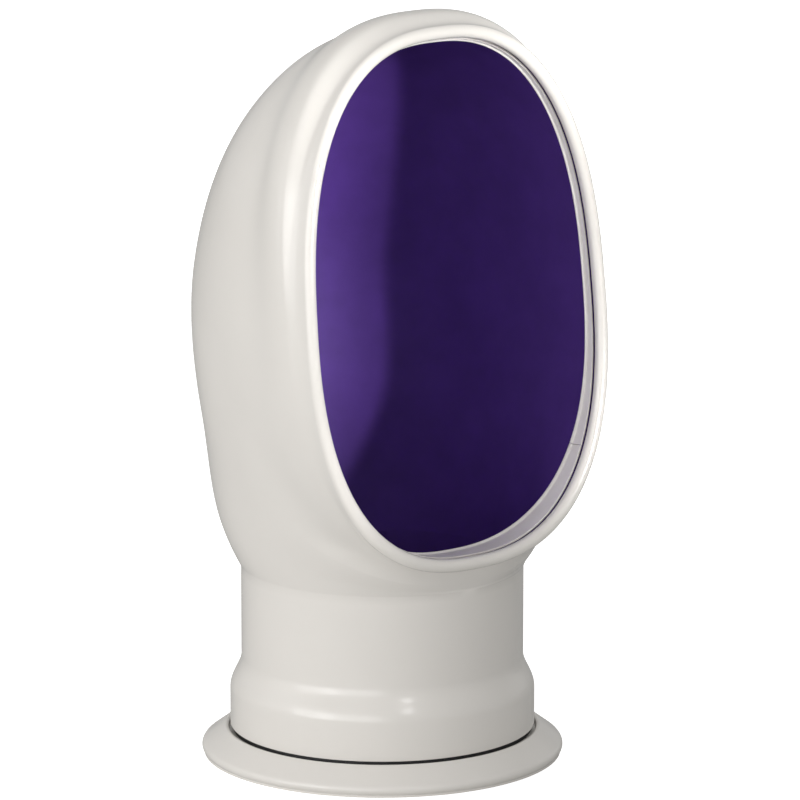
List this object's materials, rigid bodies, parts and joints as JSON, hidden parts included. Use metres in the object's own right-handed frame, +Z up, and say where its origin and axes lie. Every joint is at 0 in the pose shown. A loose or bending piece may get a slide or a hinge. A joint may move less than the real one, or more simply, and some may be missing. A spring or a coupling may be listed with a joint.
{
  "type": "cowl vent",
  "caption": "Deck cowl vent: a glossy white moulded hood with a violet lining turns on a flanged deck ring, over an insect screen and a screw-down closing valve.",
  "frame": {"origin": "on the neck's axis, in the plane of the deck under the deck ring", "axes": "+Z up along the neck's axis, -Y out of the cowl's mouth at rest, +X to the mouth's right seen from in front"},
  "size_m": [0.1526, 0.1468, 0.3003],
  "materials": {
    "white_gelcoat": "glossy, moulded",
    "violet_lining": "painted, satin",
    "white_trim": "satin, extruded",
    "black_rubber": "matt",
    "natural_nylon": "turned",
    "grey_plastic": "moulded",
    "black_plastic": "moulded, satin",
    "stainless_steel": "turned"
  },
  "bodies": {
    "deck_base": {"deck_ring": "white_gelcoat", "deck_gasket": "black_rubber", "collar_seal": "black_rubber", "slip_ring": "natural_nylon", "retaining_ring": "white_gelcoat", "screen_frame": "grey_plastic", "screen_mesh": "stainless_steel", "valve_bridge": "grey_plastic", "valve_stud": "stainless_steel", "stud_nut": "stainless_steel", "stud_stop": "stainless_steel", "retainer_screw_1": "stainless_steel", "retainer_screw_2": "stainless_steel", "retainer_screw_3": "stainless_steel", "retainer_screw_4": "stainless_steel", "retainer_screw_5": "stainless_steel", "retainer_screw_6": "stainless_steel", "bridge_screw_1": "stainless_steel", "bridge_screw_2": "stainless_steel", "bridge_screw_3": "stainless_steel"},
    "cowl": {"cowl_shell": "white_gelcoat", "inner_liner": "violet_lining", "rim_strip": "white_trim", "collar_ring": "natural_nylon"},
    "valve": {"closing_disc": "white_gelcoat", "disc_seal": "black_rubber", "keeper_nut": "white_gelcoat"},
    "knob": {"hand_knob": "black_plastic"}
  },
  "joints": [
    {"name": "cowl_swivel", "type": "hinge", "parent": "deck_base", "child": "cowl", "pos_m": [0, 0, 0.025], "axis": [0, 0, 1], "continuous": true},
    {"name": "valve_lift", "type": "slide", "parent": "deck_base", "child": "valve", "axis": [0, 0, 1], "range_m": [0, 0.022]},
    {"name": "knob_turn", "type": "hinge", "parent": "valve", "child": "knob", "pos_m": [0, 0, 0.032], "axis": [0, 0, 1], "range_deg": [0, 1980]}
  ],
  "couplings": [
    {"joint": "valve_lift", "follows": "knob_turn", "m_per_rad": 0.0006366}
  ]
}
